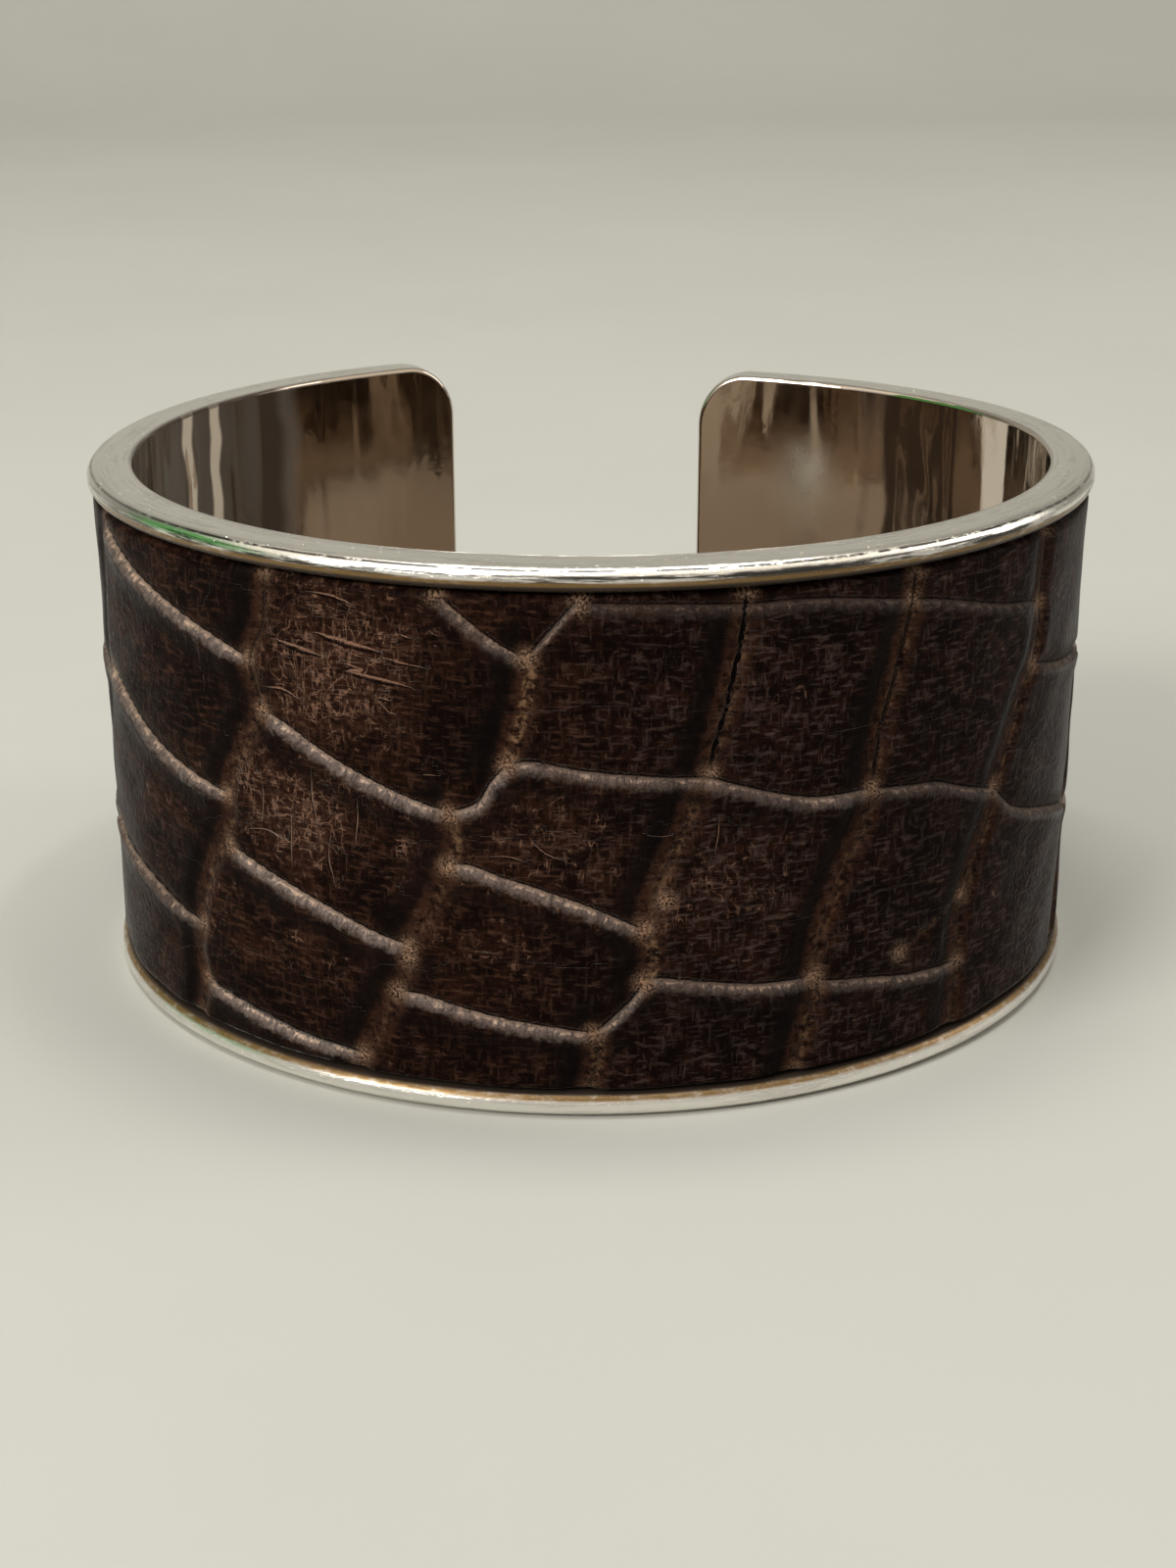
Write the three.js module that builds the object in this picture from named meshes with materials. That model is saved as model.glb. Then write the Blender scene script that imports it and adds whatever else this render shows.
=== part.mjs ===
// Cuff bracelet: an open steel band with a rounded rim all round, and a leather strip laid into its outside.
// Millimetres, +Z up along the wrist. The gap is at the back (+Y) and the origin is under the middle.

import * as THREE from "three";

// Overall form, seen from above
const outerWidth = 64;
const frontHalfDepth = 28.8;
const leftArmHalfDepth = 30.5;
const rightArmHalfDepth = 25.9;
const gapWidth = 19.4;
const gapShift = 0.13;

// The band and its rim
const bandHeight = 33.2;
const endCornerRadius = 3.8;
const steelWall = 1.2;
const rimReach = 2.85;
const rimHeight = 1.5;
const innerEdgeBreak = 0.3;

// The leather strip
const leatherThickness = 1.1;
const leatherEdgeBreak = 0.3;
const glueGap = 0.3;
const leatherEdgeClearance = 0.3;

// How finely the curved faces are divided
const stationStep = 2.6;
const cornerSteps = 5;
const rimRoundSteps = 6;
const arcLengthDivisions = 2000;
const smallestCornerRadius = 0.2;

// Angle on an arm's quarter ellipse where its end stands, measured at the outside face
function armEndAngle(gapEdge) {
  return Math.acos(gapEdge / (outerWidth / 2));
}

// The outer outline from above, walked from the left arm's end round the front to the right arm's end
function makeOuterOutline() {
  const halfWidth = outerWidth / 2;
  const leftEnd = armEndAngle(gapShift - gapWidth / 2);
  const rightEnd = armEndAngle(gapShift + gapWidth / 2);
  const outline = new THREE.CurvePath();
  outline.add(new THREE.EllipseCurve(0, 0, halfWidth, leftArmHalfDepth, leftEnd, Math.PI));
  outline.add(new THREE.EllipseCurve(0, 0, halfWidth, frontHalfDepth, Math.PI, 2 * Math.PI));
  outline.add(new THREE.EllipseCurve(0, 0, halfWidth, rightArmHalfDepth, 0, rightEnd));
  for (const curve of outline.curves) {
    curve.arcLengthDivisions = arcLengthDivisions;
  }
  return outline;
}

const outerOutline = makeOuterOutline();
const bandLength = outerOutline.getLength();

// A point of the flat band, bent round the outline. along runs round the cuff, height is up the wrist,
// and depth is how far out from the inner face the point lies.
function bendPoint(along, height, depth) {
  const share = THREE.MathUtils.clamp(along / bandLength, 0, 1);
  const point = outerOutline.getPoint(share);
  const tangent = outerOutline.getTangent(share);
  const inward = rimReach - depth;
  return [point.x - tangent.y * inward, point.y + tangent.x * inward, height];
}

// The flat band's outline, inset from its edge, as columns from one end to the other. Each column has its
// place along the band and its half height, and the corners at both ends are rounded.
function insetColumns(inset) {
  const radius = Math.max(endCornerRadius - inset, smallestCornerRadius);
  const cornerCentre = inset + radius;
  const straightHalfHeight = bandHeight / 2 - cornerCentre;
  const straightLength = bandLength - 2 * cornerCentre;
  const straightSteps = Math.round((bandLength - 2 * endCornerRadius) / stationStep);
  const columns = [];
  for (let step = 0; step <= cornerSteps; step += 1) {
    const angle = (Math.PI / 2) * (step / cornerSteps);
    const along = cornerCentre - radius * Math.cos(angle);
    columns.push({ along, halfHeight: straightHalfHeight + radius * Math.sin(angle) });
  }
  for (let step = 1; step < straightSteps; step += 1) {
    const along = cornerCentre + straightLength * (step / straightSteps);
    columns.push({ along, halfHeight: straightHalfHeight + radius });
  }
  for (let step = cornerSteps; step >= 0; step -= 1) {
    const angle = (Math.PI / 2) * (step / cornerSteps);
    const along = bandLength - cornerCentre + radius * Math.cos(angle);
    columns.push({ along, halfHeight: straightHalfHeight + radius * Math.sin(angle) });
  }
  return columns;
}

// A closed band from an edge profile: each row of the profile is carried round the whole outline, and the
// first and last rows are closed across by the inner and outer faces.
function makeBand(profile) {
  const positions = [];
  const triangles = [];
  const rows = profile.map((row) => insetColumns(row.inset));
  const columnCount = rows[0].length;
  const loopCount = 2 * columnCount;

  profile.forEach((row, rowIndex) => {
    const top = rows[rowIndex];
    for (const column of top) {
      positions.push(...bendPoint(column.along, bandHeight / 2 + column.halfHeight, row.depth));
    }
    for (const column of [...top].reverse()) {
      positions.push(...bendPoint(column.along, bandHeight / 2 - column.halfHeight, row.depth));
    }
  });

  const vertex = (row, place) => row * loopCount + (place % loopCount);
  const addQuad = (a, b, c, d) => {
    triangles.push(a, b, c, a, c, d);
  };

  for (let row = 0; row < profile.length - 1; row += 1) {
    for (let place = 0; place < loopCount; place += 1) {
      addQuad(
        vertex(row, place),
        vertex(row + 1, place),
        vertex(row + 1, place + 1),
        vertex(row, place + 1),
      );
    }
  }

  const last = profile.length - 1;
  for (let column = 0; column < columnCount - 1; column += 1) {
    const below = loopCount - 1 - column;
    addQuad(vertex(last, below), vertex(last, below - 1), vertex(last, column + 1), vertex(last, column));
    addQuad(vertex(0, column), vertex(0, column + 1), vertex(0, below - 1), vertex(0, below));
  }

  const geometry = new THREE.BufferGeometry();
  geometry.setAttribute("position", new THREE.Float32BufferAttribute(positions, 3));
  geometry.setIndex(triangles);
  geometry.computeVertexNormals();
  return geometry;
}

// Section of the steel band's edge, from the inner face over the rim and down to the pocket's floor
function makeSteelProfile() {
  const rimRadius = rimHeight / 2;
  const profile = [
    { inset: innerEdgeBreak, depth: 0 },
    { inset: 0, depth: innerEdgeBreak },
  ];
  for (let step = 0; step <= rimRoundSteps; step += 1) {
    const angle = Math.PI * (step / rimRoundSteps);
    const inset = rimRadius - rimRadius * Math.cos(angle);
    profile.push({ inset, depth: rimReach - rimRadius + rimRadius * Math.sin(angle) });
  }
  profile.push({ inset: rimHeight, depth: steelWall });
  return profile;
}

// Section of the leather strip's edge, from its glued back to its face, with the outer edge pared round
function makeLeatherProfile() {
  const edgeInset = rimHeight + leatherEdgeClearance;
  const back = steelWall + glueGap;
  const face = back + leatherThickness;
  return [
    { inset: edgeInset, depth: back },
    { inset: edgeInset, depth: face - leatherEdgeBreak },
    { inset: edgeInset + leatherEdgeBreak, depth: face },
  ];
}

function makeSteelCuff() {
  const steel = new THREE.MeshStandardMaterial({ color: "#a9a7a2", roughness: 0.12, metalness: 1 });
  const cuff = new THREE.Mesh(makeBand(makeSteelProfile()), steel);
  cuff.name = "steel_cuff";
  return cuff;
}

function makeLeatherInlay() {
  const leather = new THREE.MeshStandardMaterial({ color: "#2c1c16", roughness: 0.5, metalness: 0 });
  const inlay = new THREE.Mesh(makeBand(makeLeatherProfile()), leather);
  inlay.name = "leather_inlay";
  return inlay;
}

// The cuff stands on its lower rim, with the origin under the middle of its outline
const steelCuff = makeSteelCuff();
const leatherInlay = makeLeatherInlay();
steelCuff.geometry.computeBoundingBox();
const middle = steelCuff.geometry.boundingBox.getCenter(new THREE.Vector3());

const bracelet = new THREE.Group();
bracelet.add(steelCuff, leatherInlay);
bracelet.position.set(-middle.x, -middle.y, 0);

export default bracelet;
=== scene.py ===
import math

import bpy
import numpy as np
from mathutils.geometry import interpolate_bezier
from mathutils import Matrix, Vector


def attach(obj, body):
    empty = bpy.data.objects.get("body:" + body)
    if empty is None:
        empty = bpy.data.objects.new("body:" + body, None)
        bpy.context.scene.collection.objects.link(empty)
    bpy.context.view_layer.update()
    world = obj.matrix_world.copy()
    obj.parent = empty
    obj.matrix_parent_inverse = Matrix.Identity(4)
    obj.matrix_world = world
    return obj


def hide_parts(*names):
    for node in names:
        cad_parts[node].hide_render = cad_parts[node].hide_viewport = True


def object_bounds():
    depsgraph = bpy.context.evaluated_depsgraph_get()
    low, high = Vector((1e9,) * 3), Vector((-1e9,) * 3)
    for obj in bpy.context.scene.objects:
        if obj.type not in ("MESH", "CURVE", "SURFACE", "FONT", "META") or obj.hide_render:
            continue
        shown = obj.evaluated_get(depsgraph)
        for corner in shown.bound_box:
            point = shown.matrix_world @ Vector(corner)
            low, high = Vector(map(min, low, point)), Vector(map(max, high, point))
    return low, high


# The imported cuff: two pieces, a steel band and the leather strip laid into its outside.
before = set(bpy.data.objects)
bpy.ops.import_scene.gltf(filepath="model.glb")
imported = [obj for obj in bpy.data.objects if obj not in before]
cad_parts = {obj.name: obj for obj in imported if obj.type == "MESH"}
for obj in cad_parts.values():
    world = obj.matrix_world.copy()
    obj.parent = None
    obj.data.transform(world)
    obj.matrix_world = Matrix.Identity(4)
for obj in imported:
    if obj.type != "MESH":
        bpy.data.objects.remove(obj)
cad_box = [list(corner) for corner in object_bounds()]
mm = 0.001


# Camera. It stands where the photograph was taken from, about 16 cm from the cuff, looking down on it
# and a little across it.
camera_place = (-8.93 * mm, -149.49 * mm, 68.13 * mm)
camera_pitch = 0.372
camera_turn = 0.058
camera_lens = 54.3

camera_data = bpy.data.cameras.new("camera")
camera_data.lens = camera_lens
camera_data.clip_start = 10 * mm
camera = bpy.data.objects.new("camera", camera_data)
camera.location = camera_place
camera.rotation_euler = (math.pi / 2 - camera_pitch, 0, -camera_turn)
bpy.context.scene.collection.objects.link(camera)
bpy.context.scene.camera = camera


# Floor. One sheet of pale paper that the cuff stands on, swept up behind it into a backdrop.
floor_width = 3000 * mm
floor_front = -1300 * mm
floor_bend = 550 * mm
floor_bend_radius = 250 * mm
floor_bend_steps = 24
floor_top = 1500 * mm
paper_colour = (0.505, 0.495, 0.45)
paper_shade = (0.485, 0.475, 0.43)


def add_node(tree, kind, **settings):
    node = tree.nodes.new(kind)
    for name, value in settings.items():
        setattr(node, name, value)
    return node


# A number that a material works out: arithmetic with it adds the nodes that do the sum
class Amount:
    def __init__(self, output):
        self.output = output

    def __add__(self, other):
        return work("ADD", self, other)

    def __sub__(self, other):
        return work("SUBTRACT", self, other)

    def __rsub__(self, other):
        return work("SUBTRACT", other, self)

    def __mul__(self, other):
        return work("MULTIPLY", self, other)

    def __abs__(self):
        return work("ABSOLUTE", self, 0)


# Fills a node's input with a number, a colour or what another node puts out
def put(value, entry):
    if isinstance(value, Amount):
        value = value.output
    if isinstance(value, tuple):
        entry.default_value = (*value, 1)
    elif isinstance(value, (int, float)):
        entry.default_value = value
    else:
        entry.id_data.links.new(value, entry)


def work(operation, first, second):
    amount = first if isinstance(first, Amount) else second
    node = add_node(amount.output.id_data, "ShaderNodeMath", operation=operation)
    put(first, node.inputs[0])
    put(second, node.inputs[1])
    return Amount(node.outputs["Value"])


def new_material(name):
    material = bpy.data.materials.new(name)
    material.use_nodes = True
    return material, material.node_tree, material.node_tree.nodes["Principled BSDF"]


# Soft patches, shared by the paper, the steel and the leather: a mask from a noise between two limits
def make_patches():
    group = bpy.data.node_groups.new("soft_patches", "ShaderNodeTree")
    group.interface.new_socket("Place", in_out="INPUT", socket_type="NodeSocketVector")
    for name in ("Scale", "Low", "High"):
        group.interface.new_socket(name, in_out="INPUT", socket_type="NodeSocketFloat")
    group.interface.new_socket("Mask", in_out="OUTPUT", socket_type="NodeSocketFloat")
    given = add_node(group, "NodeGroupInput")
    result = add_node(group, "NodeGroupOutput")
    grain = add_node(group, "ShaderNodeTexNoise")
    grain.inputs["Detail"].default_value = 5.0
    grain.inputs["Roughness"].default_value = 0.62
    limits = add_node(group, "ShaderNodeMapRange", interpolation_type="SMOOTHSTEP")
    put(given.outputs["Place"], grain.inputs["Vector"])
    put(given.outputs["Scale"], grain.inputs["Scale"])
    put(grain.outputs["Fac"], limits.inputs["Value"])
    put(given.outputs["Low"], limits.inputs["From Min"])
    put(given.outputs["High"], limits.inputs["From Max"])
    put(limits.outputs["Result"], result.inputs["Mask"])
    return group


soft_patches = make_patches()


def add_patches(place, scale, low, high):
    patches = add_node(place.id_data, "ShaderNodeGroup", node_tree=soft_patches)
    for name, value in (("Place", place), ("Scale", scale), ("Low", low), ("High", high)):
        put(value, patches.inputs[name])
    return Amount(patches.outputs["Mask"])


def make_paper():
    material, tree, surface = new_material("pale_paper")
    surface.inputs["Roughness"].default_value = 0.85
    surface.inputs["Specular IOR Level"].default_value = 0.2
    place = add_node(tree, "ShaderNodeTexCoord").outputs["Object"]
    tone = add_node(tree, "ShaderNodeValToRGB")
    tone.color_ramp.elements[0].color = (*paper_shade, 1)
    tone.color_ramp.elements[1].color = (*paper_colour, 1)
    put(add_patches(place, 9.0, 0.3, 0.7), tone.inputs["Fac"])
    put(tone.outputs["Color"], surface.inputs["Base Color"])
    return material


def make_floor():
    bpy.ops.object.select_all(action="DESELECT")
    bpy.ops.mesh.primitive_plane_add(size=1)
    floor = bpy.context.object
    floor.name = "floor"
    corners = floor.data.vertices
    for corner in corners:
        corner.co.x *= floor_width
        corner.co.y = floor_front if corner.co.y < 0 else floor_bend
    bpy.ops.object.mode_set(mode="EDIT")
    bpy.ops.mesh.select_all(action="DESELECT")
    bpy.ops.object.mode_set(mode="OBJECT")
    for edge in floor.data.edges:
        edge.select = all(corners[i].co.y > 0 for i in edge.vertices)
    for corner in corners:
        corner.select = corner.co.y > 0
    bpy.ops.object.mode_set(mode="EDIT")
    bpy.ops.mesh.select_mode(type="EDGE")
    bpy.ops.mesh.spin(
        steps=floor_bend_steps,
        angle=math.pi / 2,
        center=(0, floor_bend, floor_bend_radius),
        axis=(-1, 0, 0),
    )
    bpy.ops.mesh.extrude_region_move(TRANSFORM_OT_translate={"value": (0, 0, floor_top)})
    bpy.ops.object.mode_set(mode="OBJECT")
    bpy.ops.object.shade_smooth()
    floor.data.materials.append(make_paper())


make_floor()


# Light. A dim room with a pale ceiling, a large soft window on the left, two narrow lamps overhead whose
# light shows as bright streaks in the rim, a weak fill from the right and a wash on the backdrop.
ceiling_glow = (0.46, 0.455, 0.43)
wall_glow = (0.30, 0.29, 0.265)
camera_side_glow = (0.30, 0.29, 0.27)
mirrored_glow = (0.98, 0.905, 0.775)
green_glow = (0.10, 0.29, 0.09)
green_side = (-0.93, 0.36, 0.07)
seen_glow = (0.55, 0.54, 0.49)
camera_side = (0, -0.94, 0.34)
cuff_middle = (0, 0, 0.016)

# The soft lamps, in metres. Columns: name, place, aim, width, height, watts, colour.
soft_lights = [
    ("window_left", (-0.43, -0.41, 0.41), cuff_middle, 0.32, 0.20, 3.2, (1.0, 0.985, 0.95)),
    ("lamp_above", (-0.10, -0.12, 0.62), cuff_middle, 0.34, 0.03, 1.0, (1.0, 1.0, 1.0)),
    ("lamp_above_right", (0.14, -0.03, 0.62), cuff_middle, 0.14, 0.03, 0.45, (1.0, 1.0, 1.0)),
    ("fill_right", (0.60, 0.05, 0.35), cuff_middle, 0.20, 0.35, 0.8, (1.0, 0.98, 0.95)),
    ("backdrop_wash", (0.0, 0.15, 0.95), (0, 0.62, 0.22), 0.6, 0.2, 3.1, (1.0, 0.99, 0.96)),
]


def blend_colour(mask, below, above):
    node = add_node(mask.output.id_data, "ShaderNodeMix", data_type="RGBA")
    for name, value in (("Factor", mask), ("A", below), ("B", above)):
        put(value, node.inputs[name])
    return node.outputs["Result"]


def between(value, low, high, to_low=0.0, to_high=1.0):
    node = add_node(value.output.id_data, "ShaderNodeMapRange", interpolation_type="SMOOTHSTEP")
    limits = (("From Min", low), ("From Max", high), ("To Min", to_low), ("To Max", to_high))
    for name, limit in limits:
        node.inputs[name].default_value = limit
    put(value, node.inputs["Value"])
    return Amount(node.outputs["Result"])


def towards(direction, aim):
    node = add_node(direction.id_data, "ShaderNodeVectorMath", operation="DOT_PRODUCT")
    put(direction, node.inputs[0])
    node.inputs[1].default_value = aim
    return Amount(node.outputs["Value"])


def make_room_light():
    world = bpy.data.worlds.new("room")
    bpy.context.scene.world = world
    world.use_nodes = True
    tree = world.node_tree
    background = tree.nodes["Background"]
    direction = add_node(tree, "ShaderNodeTexCoord").outputs["Generated"]
    up = between(towards(direction, (0, 0, 1)), 0.25, 0.75)
    glow = blend_colour(up, wall_glow, ceiling_glow)
    near_camera = between(towards(direction, camera_side), 0.25, 0.80)
    glow = blend_colour(near_camera, glow, camera_side_glow)
    seen = add_node(tree, "ShaderNodeLightPath").outputs
    open_above = between(towards(direction, (0, 0, 1)), 0.10, 0.55)
    glow = blend_colour(open_above * Amount(seen["Is Glossy Ray"]), glow, mirrored_glow)
    green_patch = between(towards(direction, green_side), 0.760, 0.860)
    glow = blend_colour(green_patch, glow, green_glow)
    glow = blend_colour(Amount(seen["Is Camera Ray"]), glow, seen_glow)
    put(glow, background.inputs["Color"])
    background.inputs["Strength"].default_value = 1.0


def add_soft_light(name, place, aim, width, height, watts, colour):
    data = bpy.data.lights.new(name, "AREA")
    data.shape = "RECTANGLE"
    data.size = width
    data.size_y = height
    data.energy = watts
    data.color = colour
    lamp = bpy.data.objects.new(name, data)
    lamp.location = place
    direction = lamp.location.copy()
    direction.x -= aim[0]
    direction.y -= aim[1]
    direction.z -= aim[2]
    lamp.rotation_euler = direction.to_track_quat("Z", "Y").to_euler()
    bpy.context.scene.collection.objects.link(lamp)


make_room_light()
for soft_light in soft_lights:
    add_soft_light(*soft_light)
bpy.context.scene.view_settings.view_transform = "Standard"


# Former. The oval mandrel that both pieces are bent round: a front half and two arms of unlike depth.
# It is a tool of the maker's, so it is taken away at the end.
outer_width = 64.0 * mm
front_half_depth = 28.8 * mm
left_arm_half_depth = 30.5 * mm
right_arm_half_depth = 25.9 * mm
gap_width = 19.4 * mm
gap_shift = 0.13 * mm
quarter_ellipse_handle = 0.5522847
curve_steps = 256
outline_steps = 500


def make_former():
    half = outer_width / 2
    handle = quarter_ellipse_handle
    rows = [
        ((0, left_arm_half_depth), (0, 0), (-half * handle, 0)),
        ((-half, 0), (0, left_arm_half_depth * handle), (0, -front_half_depth * handle)),
        ((0, -front_half_depth), (-half * handle, 0), (half * handle, 0)),
        ((half, 0), (0, -front_half_depth * handle), (0, right_arm_half_depth * handle)),
        ((0, right_arm_half_depth), (half * handle, 0), (0, 0)),
    ]
    curve = bpy.data.curves.new("former", "CURVE")
    spline = curve.splines.new("BEZIER")
    spline.bezier_points.add(len(rows) - 1)
    spline.resolution_u = curve_steps
    for point, (place, before, after) in zip(spline.bezier_points, rows):
        point.handle_left_type = point.handle_right_type = "FREE"
        point.co = (*place, 0)
        point.handle_left = (place[0] + before[0], place[1] + before[1], 0)
        point.handle_right = (place[0] + after[0], place[1] + after[1], 0)
    former = bpy.data.objects.new("former", curve)
    bpy.context.scene.collection.objects.link(former)
    return former


# The former's outline as close points, to measure lengths along it
def outline_points(former):
    points = former.data.splines[0].bezier_points
    outline = []
    for start, end in zip(points, points[1:]):
        handles = start.handle_right, end.handle_left
        outline += interpolate_bezier(start.co, *handles, end.co, outline_steps)[:-1]
    outline.append(points[-1].co.copy())
    return np.array([point[:2] for point in outline])


former = make_former()
outline = outline_points(former)
step_lengths = np.hypot(*np.diff(outline, axis=0).T)
outline_length = np.concatenate([[0], np.cumsum(step_lengths)])
front_index = int(np.argmin(outline[:, 1]))
left_edge = gap_shift - gap_width / 2
right_edge = gap_shift + gap_width / 2
half_way = front_index // 2
last_quarter = outline[:, 0].argmax()
band_start = float(np.interp(-left_edge, -outline[:half_way, 0], outline_length[:half_way]))
band_end = float(np.interp(-right_edge, -outline[last_quarter:, 0], outline_length[last_quarter:]))
front_place = float(outline_length[front_index])
plan_shift = cad_box[0][1] + front_half_depth


def wrap_round_former(piece):
    bpy.ops.object.select_all(action="DESELECT")
    bpy.context.view_layer.objects.active = piece
    piece.select_set(True)
    wrap = piece.modifiers.new("wrap", "CURVE")
    wrap.object = former
    wrap.deform_axis = "POS_X"
    bpy.ops.object.modifier_apply(modifier=wrap.name)
    piece.location = (0, plan_shift, 0)
    bpy.ops.object.transform_apply(location=True, rotation=True, scale=True)


# Steel band. One strip of polished steel, rolled thin in the middle, with its edge left standing as a
# rounded rim along the top, the bottom and both ends, then bent round the former.
band_height = 33.2 * mm
end_corner_radius = 3.8 * mm
steel_wall = 1.2 * mm
rim_reach = 2.85 * mm
rim_height = 1.5 * mm
rim_middle = 1.0 * mm
rim_dome = 0.06 * mm
inner_edge_round = 0.3 * mm
flat_border = 0.05 * mm
corner_steps = 14
bead_steps = 12
inner_edge_steps = 4
station_step = 1.0 * mm


def select_faces(piece, test):
    bpy.ops.object.mode_set(mode="OBJECT")
    mesh = piece.data
    for face in mesh.polygons:
        face.select = test(face)
    bpy.ops.object.mode_set(mode="EDIT")


def start_flat_strip(name, start, end, low, high, depth):
    bpy.ops.object.select_all(action="DESELECT")
    bpy.ops.mesh.primitive_plane_add(
        size=1,
        location=((start + end) / 2, rim_reach - depth, (low + high) / 2),
        rotation=(math.pi / 2, 0, 0),
    )
    piece = bpy.context.object
    piece.name = name
    piece.scale = (end - start, high - low, 1)
    bpy.ops.object.transform_apply(location=True, rotation=True, scale=True)
    return piece


def cut_stations(start, end):
    corner = [
        end_corner_radius * (1 - math.cos(math.pi / 2 * step / corner_steps))
        for step in range(1, corner_steps + 1)
    ]
    straight_start = start + end_corner_radius
    straight_length = end - start - 2 * end_corner_radius
    count = round(straight_length / station_step)
    straight = [straight_start + straight_length * step / count for step in range(1, count)]
    return [start + cut for cut in corner] + straight + [end - cut for cut in corner]


def inset_steps(rows):
    for (inset, depth), (next_inset, next_depth) in zip(rows, rows[1:]):
        bpy.ops.mesh.inset(thickness=next_inset - inset, depth=next_depth - depth, use_even_offset=True)


def set_attribute(mesh, name, values):
    attribute = mesh.attributes.new(name, "FLOAT_VECTOR", "POINT")
    attribute.data.foreach_set("vector", np.column_stack(values).astype(np.float32).ravel())


# Where each point lay on the flat strip, in millimetres: along from the middle of the front, height and
# depth, and how far in from the strip's outline
def note_strip_place(band):
    mesh = band.data
    places = np.zeros(len(mesh.vertices) * 3)
    mesh.vertices.foreach_get("co", places)
    x, y, z = places.reshape(-1, 3).T
    across = np.minimum(x - band_start, band_end - x)
    upward = np.minimum(z, band_height - z)
    corner = np.hypot(
        np.clip(end_corner_radius - across, 0, None), np.clip(end_corner_radius - upward, 0, None)
    )
    inward = np.minimum(np.minimum(across, upward), end_corner_radius - corner)
    set_attribute(mesh, "strip_place", ((x - front_place) / mm, z / mm, (rim_reach - y) / mm))
    set_attribute(mesh, "rim_place", (inward / mm, 0 * x, 0 * x))


def make_steel_band():
    band = start_flat_strip("steel_band", band_start, band_end, 0, band_height, rim_middle)
    bpy.ops.object.mode_set(mode="EDIT")
    bpy.ops.mesh.select_mode(type="FACE")
    bpy.ops.mesh.select_all(action="SELECT")
    bpy.ops.mesh.bevel(offset=end_corner_radius, segments=corner_steps, affect="VERTICES")
    for place in cut_stations(band_start, band_end):
        bpy.ops.mesh.select_all(action="SELECT")
        bpy.ops.mesh.bisect(plane_co=(place, 0, 0), plane_no=(1, 0, 0), threshold=1e-6)
    bpy.ops.mesh.select_all(action="SELECT")
    bead_radius = (rim_height - rim_dome) / 2
    bead_middle = rim_reach - bead_radius
    bpy.ops.mesh.extrude_region_move(
        TRANSFORM_OT_translate={"value": (0, -(bead_middle - rim_middle) / 2, 0)}
    )
    outside = [(0, (bead_middle + rim_middle) / 2), (rim_dome * 0.4, (bead_middle * 3 + rim_middle) / 4)]
    for step in range(bead_steps + 1):
        angle = math.pi * step / bead_steps
        outside.append(
            (rim_dome + bead_radius * (1 - math.cos(angle)), bead_middle + bead_radius * math.sin(angle))
        )
    inset_steps(outside)
    bpy.ops.mesh.extrude_region_move(
        TRANSFORM_OT_translate={"value": (0, bead_middle - steel_wall, 0)}
    )
    back_place = rim_reach - rim_middle
    select_faces(band, lambda face: face.normal.y > 0.9 and abs(face.center.y - back_place) < 0.01 * mm)
    inside = [(0, -rim_middle), (rim_dome * 0.5, -inner_edge_round)]
    for step in range(1, inner_edge_steps + 1):
        angle = math.pi / 2 * step / inner_edge_steps
        inside.append(
            (
                rim_dome * 0.5 + inner_edge_round * (1 - math.cos(angle)),
                -inner_edge_round + inner_edge_round * math.sin(angle),
            )
        )
    inside.append((inside[-1][0] + flat_border, inside[-1][1]))
    inset_steps(inside)
    bpy.ops.object.mode_set(mode="OBJECT")
    note_strip_place(band)
    wrap_round_former(band)
    bpy.ops.object.shade_smooth_by_angle(angle=math.radians(35))
    return band


# Small steps that the leather's and the steel's finishes are put together from
def noise(place, scale, detail=4.0, roughness=0.6, distortion=0.0):
    node = add_node(place.id_data, "ShaderNodeTexNoise")
    settings = (("Scale", scale), ("Detail", detail), ("Roughness", roughness), ("Distortion", distortion))
    for name, value in (("Vector", place), *settings):
        put(value, node.inputs[name])
    return Amount(node.outputs["Fac"])


def stretch(place, scale, turn=0.0):
    node = add_node(place.id_data, "ShaderNodeMapping")
    node.inputs["Scale"].default_value = scale
    node.inputs["Rotation"].default_value = (0, 0, turn)
    put(place, node.inputs["Vector"])
    return node.outputs["Vector"]


def larger(first, second):
    return work("MAXIMUM", first, second)


def make_place(x, y, z=0.0):
    node = add_node(x.output.id_data, "ShaderNodeCombineXYZ")
    for value, entry in zip((x, y, z), node.inputs):
        put(value, entry)
    return node.outputs["Vector"]


def read_attribute(tree, name):
    node = add_node(tree, "ShaderNodeAttribute", attribute_name=name)
    parts = add_node(tree, "ShaderNodeSeparateXYZ")
    put(node.outputs["Vector"], parts.inputs["Vector"])
    return [Amount(part) for part in parts.outputs]


# Lets the light see a height, in millimetres, that the mesh doesn't have
def show_height(surface, height):
    bump = add_node(surface.id_data, "ShaderNodeBump")
    bump.inputs["Distance"].default_value = 1.0 * mm
    bump.inputs["Strength"].default_value = 1.0
    put(height, bump.inputs["Height"])
    put(bump.outputs["Normal"], surface.inputs["Normal"])


rim_steel = (0.95, 0.92, 0.865)
# The inner steel colours are painted reflection: a brown that stands in for what the inside mirrors
inner_steel_painted_reflection = (0.54, 0.455, 0.375)
lighter_inner_painted_reflection = (0.66, 0.57, 0.49)
dark_reflection_line_steel = (0.045, 0.042, 0.040)
worn_steel = (0.42, 0.39, 0.36)
hollow_pale_reflection_steel = (0.78, 0.75, 0.67)
amber_painted_reflection = (0.200, 0.120, 0.045)
pocket_painted_shade = (0.055, 0.040, 0.030)
painted_dark_reflection_steel = (0.060, 0.041, 0.028)

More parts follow.
